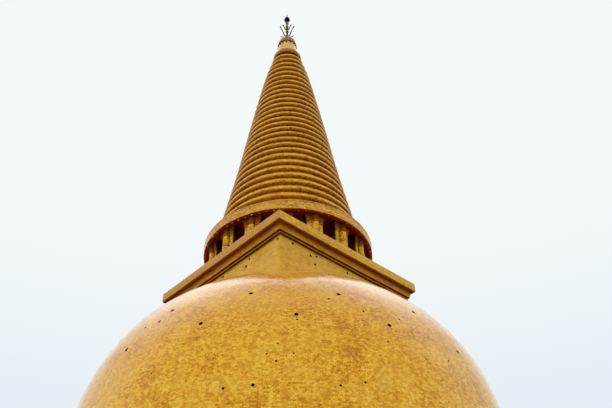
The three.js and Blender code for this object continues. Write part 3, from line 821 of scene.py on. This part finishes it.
def makeThrone():
    half = throne["wallHalf"]

    def layer(outline, soft, wander):
        outline = softened(outline, soft, 3)
        return boxed(outline, half, half, cornerRadius=throne["corner"], perSide=40, wander=wander)

    rows = throne["wallRows"]
    rise = throne["wallTop"] - throne["wallFoot"]
    wall = [(0.0, throne["wallFoot"] + rise * i / rows) for i in range(rows + 1)]
    mesh = boxed(wall, half, half, cornerRadius=throne["corner"], perSide=40, wander=0.05)
    piece = makePiece("throne_wall_dressed", mesh, [throneFinish])
    places = throneVents()
    drilled(piece, places, [throne["ventRadius"]] * len(places), throne["ventDepth"], throne["ventSides"])
    seat(piece, "gold_tile_throne", "throne_wall")
    fillets = layer(throne["fillets"], soft=0.04, wander=0.03)
    dress("throne_fillets", fillets, mouldingFinishWithPaintedShade, "gold_tile_throne")
    middle, bottom = throne["coveMiddle"]
    cove = oval(middle, bottom, -throne["coveReach"], throne["coveRise"], throne["coveSteps"])
    low = [point for point in cove if point[1] < throne["coveSplit"]]
    high = [point for point in cove if point[1] > throne["coveSplit"]]
    rise = (throne["coveSplit"] - bottom) / throne["coveRise"]
    split = (middle - throne["coveReach"] * math.sqrt(1 - rise ** 2), throne["coveSplit"])
    mesh = layer([*throne["bandFoot"], *low, split], soft=0.02, wander=0.03)
    dress("throne_band", mesh, mouldingFinishWithPaintedShade, "gold_tile_throne")
    mesh = layer([split, *high, *throne["slab"]], soft=0.02, wander=0.03)
    piece = makePiece("throne_slab_dressed", mesh, [slabFinish, mouldingFinishWithPaintedShade])
    for face in piece.data.polygons:
        face.material_index = 1 if face.center.z < throne["coveEnd"] * realMetre else 0
    seat(piece, "gold_tile_throne", "throne_slab")
    print("throne made")


# Colonnade: a round step, the dark core, and sixteen piers with engaged columns

colonnade = {
    "stepRadius": 11.45, "stepFoot": 58.41, "stepTop": 59.0, "coreRadius": 7.8, "soffit": 63.3,
    "circle": 10.8, "shaft": 0.42, "swell": 0.02, "plinth": 0.5, "base": 0.52, "baseFoot": 60.15,
    "baseTop": 60.75, "capitalFoot": 61.8, "capitalTop": 62.93, "capital": 0.48, "capitalRings": 4,
    "torus": 0.1, "upperTorus": 0.07, "ringReach": 0.11, "ringGap": 0.04, "joint": 0.02, "shaftSteps": 6,
    "columns": 16, "pierInner": 10.05, "pierOuter": 10.62, "pierWidth": 2.2, "pierStep": 0.06,
    "flare": 0.06, "flareLip": 0.03, "stepEdge": 0.05, "sides": 28, "stepSides": 128, "coreSides": 96,
    "sheetWidth": 0.3, "shaftGap": 0.03, "soffitGap": 0.1, "pierEdge": 0.03,
}


def columnMesh():
    c = colonnade
    joint, gap = c["joint"], c["ringGap"]
    shaft = [(c["plinth"], c["stepTop"]), (c["plinth"], c["baseFoot"] - 2 * joint),
             (c["plinth"] - 2 * joint, c["baseFoot"] - joint)]
    middle = (c["baseFoot"] + c["baseTop"]) / 2
    shaft += halfRound(c["base"], c["torus"], c["baseFoot"] + joint, middle - joint, 6)
    upper = c["base"] - c["torus"] + c["upperTorus"]
    shaft += halfRound(upper, c["upperTorus"], middle + joint, c["baseTop"] - joint, 6)
    rise = c["capitalFoot"] - c["baseTop"]
    for i in range(c["shaftSteps"] + 1):
        share = i / c["shaftSteps"]
        height = c["baseTop"] + c["shaftGap"] + (rise - 2 * c["shaftGap"]) * share
        shaft.append((c["shaft"] + c["swell"] * math.sin(math.pi * share), height))
    pitch = (c["capitalTop"] - c["capitalFoot"]) / c["capitalRings"]
    for i in range(c["capitalRings"]):
        bottom = c["capitalFoot"] + i * pitch
        shaft += halfRound(c["capital"], c["ringReach"], bottom + gap, bottom + pitch - gap, 6)
    shaft += [(c["capital"], c["soffit"] - c["soffitGap"]), (c["capital"], c["soffit"])]
    roundShaft = lathed(shaft, c["sides"], c["sheetWidth"])
    roundShaft.transform(Matrix.Translation((c["circle"] * realMetre, 0, 0)))
    middle = (c["pierInner"] + c["pierOuter"]) / 2
    halfDeep = (c["pierOuter"] - c["pierInner"]) / 2
    outline = [(0.0, c["stepTop"]), (0.0, c["capitalFoot"])]
    for i in range(c["capitalRings"]):
        bottom = c["capitalFoot"] + i * pitch
        lip = c["flareLip"]
        out = c["flare"] * i + lip
        outline += [(out, bottom + 0.05), (out + lip, bottom + pitch / 2), (out, bottom + pitch - gap)]
    outline.append((c["flare"] * (c["capitalRings"] + 1), c["soffit"]))
    outline = softened(outline, 0.025, 2)
    halfWide = c["pierWidth"] / 2
    step = c["pierStep"]
    wide = boxed(outline, halfDeep - step / 2, halfWide, (middle - step / 2, 0), c["pierEdge"], perSide=1)
    deep = boxed(outline, halfDeep, halfWide - step, (middle, 0), c["pierEdge"], perSide=1)
    return joined(roundShaft, wide, deep)


def makeColonnade():
    c = colonnade
    radius, edge = c["stepRadius"], c["stepEdge"]
    step = [(radius - edge, c["stepFoot"]), (radius, c["stepFoot"] + edge),
            (radius, c["stepTop"] - edge), (radius - 0.08, c["stepTop"])]
    mesh = lathed(step, c["stepSides"], soft=0.04)
    dress("colonnade_step", mesh, throneFinish, "gold_tile_throne")
    # the core is near black render: painted shade deep inside the colonnade
    core = lathed([(c["coreRadius"], c["stepTop"]), (c["coreRadius"], c["soffit"])], c["coreSides"])
    dress("colonnade_core", core, paintedShadeRender, "shaded_render")
    values = {"Copies": c["columns"], "First Turn": 0.0, "Finish": columnFinish}
    mesh = grown("columns", columnMesh(), copiesTree, values)
    names = [f"column_{i + 1:02d}" for i in range(c["columns"])]
    seat(makePiece("columns_dressed", mesh, [columnFinish]), "gold_tile_column", *names)
    print("colonnade made")


# Cornice over the colonnade, with small bells hung under its rim

cornice = {
    "outline": [(0.02, 63.3), (11.22, 63.3), (11.3, 62.98), (11.36, 62.92), (11.74, 62.92), (11.8, 62.97),
                (11.82, 63.1), (11.8, 63.7), (11.78, 64.1), (11.82, 64.26), (11.82, 64.36), (11.74, 64.42),
                (10.9, 64.75), (10.2, 65.5), (9.6, 65.7)],
    "bells": 72, "bellCircle": 11.7, "bellTop": 62.96, "bellSize": 0.18,
    "swing": 0.25, "turn": 1.6, "spread": 0.5,
}


def hungBell(size):
    # a small bell on a hook, its top at the origin
    outline = [(0.02, -0.9), (0.075, -0.88), (0.08, -0.84), (0.02, -0.8), (0.02, -0.62), (0.15, -0.62),
               (0.17, -0.58), (0.13, -0.45), (0.11, -0.3), (0.06, -0.2), (0.025, -0.18), (0.025, 0.0)]
    outline = [(radius * size, height * size) for radius, height in outline]
    return lathed(outline, sides=10, sheetWidth=0.3, soft=0.02, softSteps=2)


def leaf(size):
    # the flat leaf that swings under a bell and catches the light
    outline = [(0.0, -0.88), (0.4, -0.96), (0.55, -1.12), (0.32, -1.34), (0.0, -1.45),
               (-0.32, -1.34), (-0.55, -1.12), (-0.4, -0.96)]
    thick = 0.012
    vertices = [(side * thick, y * size, z * size) for side in (-1, 1) for y, z in outline]
    count = len(outline)
    faces = [tuple(range(count)), tuple(reversed(range(count, 2 * count)))]
    faces += [(i, i + count, (i + 1) % count + count, (i + 1) % count) for i in range(count)]
    return meshFrom(vertices, faces, [((0.0, 0.0),) * len(face) for face in faces])


def hungRow(name, unit, row, finish, slot):
    outward(unit)
    values = {"Copies": row["bells"], "Circle": row["bellCircle"] * realMetre,
              "Height": row["bellTop"] * realMetre, "Swing": row["swing"], "Turn": row["turn"],
              "Size Spread": row["spread"], "Seed": 4, "Finish": finish}
    seat(makePiece(name, grown(name + "Mesh", unit, hungTree, values), [finish]), slot)


def makeCornice():
    mesh = lathed(cornice["outline"], sides=240, sheetWidth=0.6, wander=0.03, wanderSize=2.0, soft=0.04)
    dress("spire_cornice", mesh, corniceFinish, "gold_tile_spire")
    hungRow("cornice_bells", hungBell(cornice["bellSize"]), cornice, darkBronze, "dark_bronze")
    hungRow("cornice_bell_leaves", leaf(cornice["bellSize"]), cornice, tinnedBrass, "gilded_metal")
    print("cornice made")


# Spire: a core with 28 swept rings, the lowest a foot for the other 27

spire = {
    "outline": ((66.0, 10.27), (77.6, 7.99), (88.3, 6.18), (100.3, 4.02), (107.0, 2.4)),  # height, radius
    # the lowest rings stand at an even pitch, and the others closest together half way up
    "evenRings": 8, "evenLowest": 67.24, "evenPitch": 1.505,
    "lowestLip": 67.27, "spacing": 1.63, "gather": -0.024, "spread": 0.00059,
    "rings": 28, "sides": 128, "roll": 0.42, "rollMiddle": -0.38, "rollSteps": 14, "filletInside": -0.62,
    "coreFoot": (10.0, 65.7), "coreStart": 66.0, "coreSteps": 40, "coreAhead": 1.0, "halvings": 30,
    # out from the lip's radius and up from the lip: the fillet under the roll
    "fillet": ((-0.62, -1.16), (-0.4, -1.14), (-0.36, -1.1), (-0.36, -0.97), (-0.4, -0.92), (-0.43, -0.86)),
}


def lipHeight(count):
    if count < spire["evenRings"]:
        return spire["evenLowest"] + count * spire["evenPitch"]
    pitch = spire["spacing"] + count * (spire["gather"] + count * spire["spread"])
    return spire["lowestLip"] + count * pitch


def ringSection():
    roll, middle = spire["roll"], spire["rollMiddle"]
    rounded = halfRound(0, roll, middle - roll, middle + roll, spire["rollSteps"])
    return [*spire["fillet"], *rounded, (spire["filletInside"], middle + roll)]


def catmull(a, b, c, d, t):
    # a smooth curve from b to c, between its neighbours a and d
    start, end = (c - a) / 2, (d - b) / 2
    cubed, squared = 2 * b - 2 * c + start + end, -3 * b + 3 * c - 2 * start - end
    return cubed * t ** 3 + squared * t ** 2 + start * t + b


def alongCurve(points, index, t):
    # a point after the one at the index, on a smooth curve through all the points
    last = len(points) - 1
    near = points[max(index - 1, 0)], points[index], points[index + 1], points[min(index + 2, last)]
    return [catmull(*values, t) for values in zip(*near)]


def spirePoint(share):
    last = len(spire["outline"]) - 1
    index = min(int(share * last), last - 1)
    return alongCurve(spire["outline"], index, share * last - index)


def spireRadius(height):
    # halves the span until it stands at the height
    low, high = 0.0, 1.0
    for _ in range(spire["halvings"]):
        middle = (low + high) / 2
        if spirePoint(middle)[0] < height:
            low = middle
        else:
            high = middle
    return spirePoint(low)[1]


def makeSpire():
    lips = [lipHeight(i) for i in range(spire["rings"])]
    axis = bpy.data.meshes.new("axis")
    axis.from_pydata([(0, 0, lip * realMetre) for lip in lips], [], [])
    radii = axis.attributes.new("lipRadius", "FLOAT", "POINT")
    radii.data.foreach_set("value", [spireRadius(lip) * realMetre for lip in lips])
    section = bpy.data.meshes.new("section")
    corners = [(out * realMetre, -up * realMetre, 0) for out, up in ringSection()]
    count = len(corners)
    section.from_pydata(corners, [(i, (i + 1) % count) for i in range(count)], [])
    sectionObject = placed("section", section)
    values = {"Section": sectionObject, "Sides": spire["sides"], "Finish": ringFinish}
    rings = grown("rings", axis, ringsTree, values)
    bpy.data.objects.remove(sectionObject)
    coreOutline = [spire["coreFoot"]]
    low, steps = spire["coreStart"], spire["coreSteps"]
    for i in range(steps + 1):
        height = low + (lips[-1] - low) * i / steps
        coreOutline.append((spireRadius(height + spire["coreAhead"]) - spire["roll"], height))
    mesh = joined(rings, lathed(coreOutline, spire["sides"]))
    nodes = ("spire_foot", "spire_rings_lower", "spire_rings_middle", "spire_rings_upper")
    seat(makePiece("spire_rings_dressed", mesh, [ringFinish]), "gold_tile_spire", *nodes)
    print("spire made")


# Collar, pale neck and rounded cap with its bells

cap = {
    "collar": [(2.2, 106.22), (2.4, 106.32), (2.48, 106.55), (2.48, 107.1), (2.38, 107.3), (2.34, 107.42),
               (2.2, 107.6)],
    "neck": [(2.08, 107.6), (2.06, 107.7), (1.84, 108.9), (1.64, 110.0), (1.56, 110.45)],
    "rimRadius": 1.72, "rimFoot": 110.45, "rimTop": 110.75, "seatRadius": 0.34, "top": 112.8,
    "domeSteps": 18, "domeInside": 1.6, "domeStep": 0.05, "rimBevel": 0.06,
    "sides": 72, "sheetWidth": 0.3,
    "bells": 16, "bellCircle": 1.66, "bellTop": 110.5, "bellSize": 0.74,
    "swing": 0.06, "turn": 0.5, "spread": 0.15,
}


def makeCap():
    sides, wide = cap["sides"], cap["sheetWidth"]
    collar = lathed(cap["collar"], sides, wide, soft=0.08)
    dress("spire_collar", collar, collarFinish, "amber_glaze")
    neck = lathed(cap["neck"], sides, wide, wander=0.02, wanderSize=0.6, soft=0.1)
    dress("spire_neck", neck, paleGlaze, "pale_glaze")
    rim = cap["rimRadius"]
    bevel, inner = cap["rimBevel"], rim - cap["domeStep"]
    dome = [(cap["domeInside"], cap["rimFoot"]), (rim - 0.04, cap["rimFoot"]), (rim, cap["rimFoot"] + bevel),
            (rim, cap["rimTop"] - bevel), (inner, cap["rimTop"])]
    reach, rise = inner - cap["seatRadius"], cap["top"] - cap["rimTop"]
    dome += oval(cap["seatRadius"], cap["rimTop"], reach, rise, cap["domeSteps"])[1:]
    mesh = lathed(dome, sides, wide, wander=0.02, wanderSize=0.8, soft=0.03, softSteps=2)
    dress("rounded_cap", mesh, amberGlaze, "amber_glaze")
    hungRow("cap_bells", hungBell(cap["bellSize"]), cap, darkBronze, "dark_bronze")
    print("cap made")


# Finial: three crowns of prongs, a beaded stem, a crown bud and a needle

finial = {
    "lowerCrown": {"hub": 0.3, "foot": 112.8, "top": 113.5,
                   "spine": ((0.2, 113.28), (0.6, 113.36), (1.0, 113.68), (1.25, 113.95)),
                   "thick": (0.13, 0.1, 0.11, 0.04)},
    "upperCrown": {"hub": 0.17, "foot": 113.5, "top": 114.6,
                   "spine": ((0.1, 113.74), (0.48, 114.08), (0.73, 115.0), (1.0, 115.85), (1.24, 116.6),
                             (1.28, 116.75)),
                   "thick": (0.13, 0.12, 0.1, 0.08, 0.13, 0.04)},
    "innerCrown": {"hub": 0.25, "foot": 115.55, "top": 115.9,
                   "spine": ((0.1, 115.73), (0.36, 115.86), (0.5, 116.4), (0.74, 117.1), (0.82, 117.3)),
                   "thick": (0.11, 0.13, 0.08, 0.11, 0.03)},
    "blades": 4, "hubInside": 0.8, "hubBevel": 0.1, "sides": 24,
    "flat": 0.6, "stem": 0.19, "bead": 0.3, "stemTop": 118.15, "lowerBeads": 1, "upperBeads": 2,
    "stemShare": 0.12, "beadShares": (0.18, 0.82),
    "bud": 0.54, "budTop": 119.8,
    "budShares": ((0.42, 0.0), (0.78, 0.06), (0.95, 0.16), (1.0, 0.3), (0.93, 0.44), (0.72, 0.58),
                  (0.46, 0.7), (0.28, 0.84), (0.17, 1.0)),
    "needle": 0.09, "needleTop": 120.45,
}


def rod(spine, thick, sides=8, between=4):
    # an oval rod whose thickness follows its spine of (reach, height) points along +X
    points, widths = [], []
    for index in range(len(spine) - 1):
        for step in range(between):
            t = step / between
            points.append(alongCurve(spine, index, t))
            widths.append(thick[index] * (1 - t) + thick[index + 1] * t)
    points.append(list(spine[-1]))
    widths.append(thick[-1])
    vertices = []
    for index, (point, width) in enumerate(zip(points, widths)):
        ahead = points[min(index + 1, len(points) - 1)]
        behind = points[max(index - 1, 0)]
        angle = math.atan2(ahead[1] - behind[1], ahead[0] - behind[0])
        for side in range(sides):
            turn = fullTurn * side / sides
            lift = width * math.cos(turn)
            across = finial["flat"] * width * math.sin(turn)
            vertices.append((point[0] - lift * math.sin(angle), across, point[1] + lift * math.cos(angle)))
    flat = [0.0] * (max(len(points), sides) + 1)
    faces, maps = wrapped(len(points), sides, flat, flat)
    faces.append(tuple(reversed(range(sides))))
    faces.append(tuple((len(points) - 1) * sides + side for side in range(sides)))
    maps += [((0.0, 0.0),) * sides] * 2
    return meshFrom(vertices, faces, maps)


def crown(node, size):
    # four blades about a round hub
    unit = rod(size["spine"], size["thick"])
    outward(unit)
    values = {"Copies": finial["blades"], "First Turn": math.pi / 4, "Finish": darkBronze}
    blades = grown(node + "Blades", unit, copiesTree, values)
    foot, top, hub = size["foot"], size["top"], size["hub"]
    inner, bevel = finial["hubInside"] * hub, finial["hubBevel"]
    outline = [(inner, foot), (hub, foot + bevel), (hub, top - bevel), (inner, top)]
    mesh = joined(blades, lathed(outline, finial["sides"], soft=0.06))
    dress(node, mesh, darkBronze, "dark_bronze")


def beadedStem(node, foot, top, beads):
    f = finial
    outline = []
    pitch = (top - foot) / beads
    for i in range(beads):
        bottom = foot + i * pitch
        outline += [(f["stem"], bottom), (f["stem"], bottom + f["stemShare"] * pitch)]
        low, high = [bottom + share * pitch for share in f["beadShares"]]
        outline += halfRound(f["bead"], f["bead"] - f["stem"], low, high, 8)
    outline.append((f["stem"], top))
    dress(node, lathed(outline, sides=20), gildedCopper, "gilded_metal")


def makeFinial():
    f = finial
    crown("lower_prongs", f["lowerCrown"])
    crown("upper_prongs", f["upperCrown"])
    beadedStem("lower_stem", f["upperCrown"]["top"], f["innerCrown"]["foot"], f["lowerBeads"])
    crown("inner_prongs", f["innerCrown"])
    beadedStem("upper_stem", f["innerCrown"]["top"], f["stemTop"], f["upperBeads"])
    rise = f["budTop"] - f["stemTop"]
    bud = [(f["bud"] * share, f["stemTop"] + rise * up) for share, up in f["budShares"]]
    dress("crown_bud", lathed(bud, f["sides"], soft=0.08), darkBronze, "dark_bronze")
    needle = [(f["needle"], f["budTop"]), (f["needle"] * 0.7, f["budTop"] + 0.3),
              (f["needle"] * 0.25, f["needleTop"])]
    dress("needle", lathed(needle, sides=16), darkBronze, "dark_bronze")
    print("finial made")


makeFoot()
makeBell()
makeThrone()
makeColonnade()
makeCornice()
makeSpire()
makeCap()
makeFinial()


# Floor, light and camera

stage = {
    "floorRadius": 400.0, "floorSides": 96, "floorDrop": 0.002,
    "floorColour": "c9c7c3", "floorBounce": "4a4438",
    "skyStops": (0.0, 0.42, 0.48, 0.6, 1.0), "sky": "e2ecf4 e6eff5 ebf3f7 f3f8f9 f5f9fa", "light": 1.65,
    # what the glaze mirrors: a way, where it starts and ends, and the light's share before and after
    "mirrored": (
        ((0.6, -0.53, 0.6), 0.3, 0.65, 1.0, 0.3),  # a dark canopy over and behind the camera
        ((-0.6, 0.53, 0.6), 0.72, 0.93, 0.75, 1.0),  # bright cloud beyond the building
        ((0.0, 0.0, 1.0), 0.66, 0.92, 0.74, 1.85)),  # and overhead
    "sunSize": 60.0, "sunPower": 0.35, "sunBearing": 0.0, "sunHeight": 35.0,
}
shot = {
    "bearing": 48.47, "distance": 8.579, "height": 0.16, "lens": 44.12, "sensor": 36.0,
    "pitch": 39.96, "yaw": 1.8, "roll": 1.432,
}


def makeFloor():
    rim = []
    for i in range(stage["floorSides"]):
        angle = fullTurn * i / stage["floorSides"]
        x, y = stage["floorRadius"] * math.cos(angle), stage["floorRadius"] * math.sin(angle)
        rim.append((x, y, -stage["floorDrop"]))
    floor = bpy.data.meshes.new("floor")
    floor.from_pydata(rim, [], [tuple(range(len(rim)))])
    floorObject = placed("floor", floor)
    material, tree = newMaterial("mattPaleFloor")
    # the eye sees a pale floor, but it throws up no more light than dark ground does
    seen = addNode(tree, "ShaderNodeLightPath").outputs["Is Camera Ray"]
    bounce, colour = linear(stage["floorBounce"]), stage["floorColour"]
    colour = overlaid(tree, bounce, seen, ("MIX", colour, 0.0, 1.0, 1.0))
    endMaterial(tree, {"Base Color": colour, "Roughness": 0.9, "Specular IOR Level": 0.0})
    floor.materials.append(material)


def makeSky():
    world = bpy.data.worlds.new("softSky")
    bpy.context.scene.world = world
    world.use_nodes = True
    tree = world.node_tree
    tree.nodes.clear()
    direction = addNode(tree, "ShaderNodeTexCoord").outputs["Generated"]
    up = addNode(tree, "ShaderNodeSeparateXYZ", {}, {0: direction}).outputs[2]
    colour = shaded(tree, up, stage["skyStops"], stage["sky"])
    # the sky that lights the building is brighter than the picture can show
    mirrored = stage["light"]
    for way, start, end, before, after in stage["mirrored"]:
        along = addNode(tree, "ShaderNodeVectorMath", {"operation": "DOT_PRODUCT"}, {0: direction, 1: way})
        links = {0: along.outputs["Value"], 1: start, 2: end, 3: before, 4: after}
        share = addNode(tree, "ShaderNodeMapRange", {}, links).outputs[0]
        product = addNode(tree, "ShaderNodeMath", {"operation": "MULTIPLY"}, {0: mirrored, 1: share})
        mirrored = product.outputs[0]
    paths = addNode(tree, "ShaderNodeLightPath").outputs
    links = {0: paths["Is Glossy Ray"], 3: stage["light"], 4: mirrored}
    lighting = addNode(tree, "ShaderNodeMapRange", {"clamp": False}, links).outputs[0]
    links = {0: paths["Is Camera Ray"], 3: lighting, 4: 1.0}
    strength = addNode(tree, "ShaderNodeMapRange", {"clamp": False}, links).outputs[0]
    background = addNode(tree, "ShaderNodeBackground", {}, {"Color": colour, "Strength": strength})
    addNode(tree, "ShaderNodeOutputWorld", {}, {0: background.outputs[0]})
    world.cycles.sampling_method = "NONE"


def makeSun():
    sun = bpy.data.lights.new("softSun", "SUN")
    sun.energy, sun.angle = stage["sunPower"], math.radians(stage["sunSize"])
    sunObject = placed("softSun", sun)
    bearing, height = math.radians(stage["sunBearing"]), math.radians(stage["sunHeight"])
    level = math.cos(height)
    toSun = Vector((math.sin(bearing) * level, -math.cos(bearing) * level, math.sin(height)))
    sunObject.rotation_euler = (-toSun).to_track_quat("-Z", "Y").to_euler()
    sunObject.visible_glossy = False


def makeCamera():
    bearing, pitch = math.radians(shot["bearing"]), math.radians(shot["pitch"])
    yaw, roll = math.radians(shot["yaw"]), math.radians(shot["roll"])
    up = Vector((0, 0, 1))
    towards = Vector((-math.sin(bearing), math.cos(bearing), 0))
    level = Vector((towards.y, -towards.x, 0))
    heading = towards * math.cos(yaw) + level * math.sin(yaw)
    level = Vector((heading.y, -heading.x, 0))
    ahead = heading * math.cos(pitch) + up * math.sin(pitch)
    above = up * math.cos(pitch) - heading * math.sin(pitch)
    right = level * math.cos(roll) - above * math.sin(roll)
    top = level * math.sin(roll) + above * math.cos(roll)
    place = Matrix((right, top, -ahead)).transposed().to_4x4()
    place.translation = (-towards * shot["distance"]) + up * shot["height"]
    camera = bpy.data.cameras.new("camera")
    camera.lens, camera.sensor_width = shot["lens"], shot["sensor"]
    camera.clip_start, camera.clip_end = 0.05, 2000
    cameraObject = placed("camera", camera)
    cameraObject.matrix_world = place
    bpy.context.scene.camera = cameraObject
    view = bpy.context.scene.view_settings
    view.view_transform, view.look, view.exposure, view.gamma = "Standard", "None", 0.0, 1.0


makeFloor()
makeSky()
makeSun()
makeCamera()
bpy.context.view_layer.update()
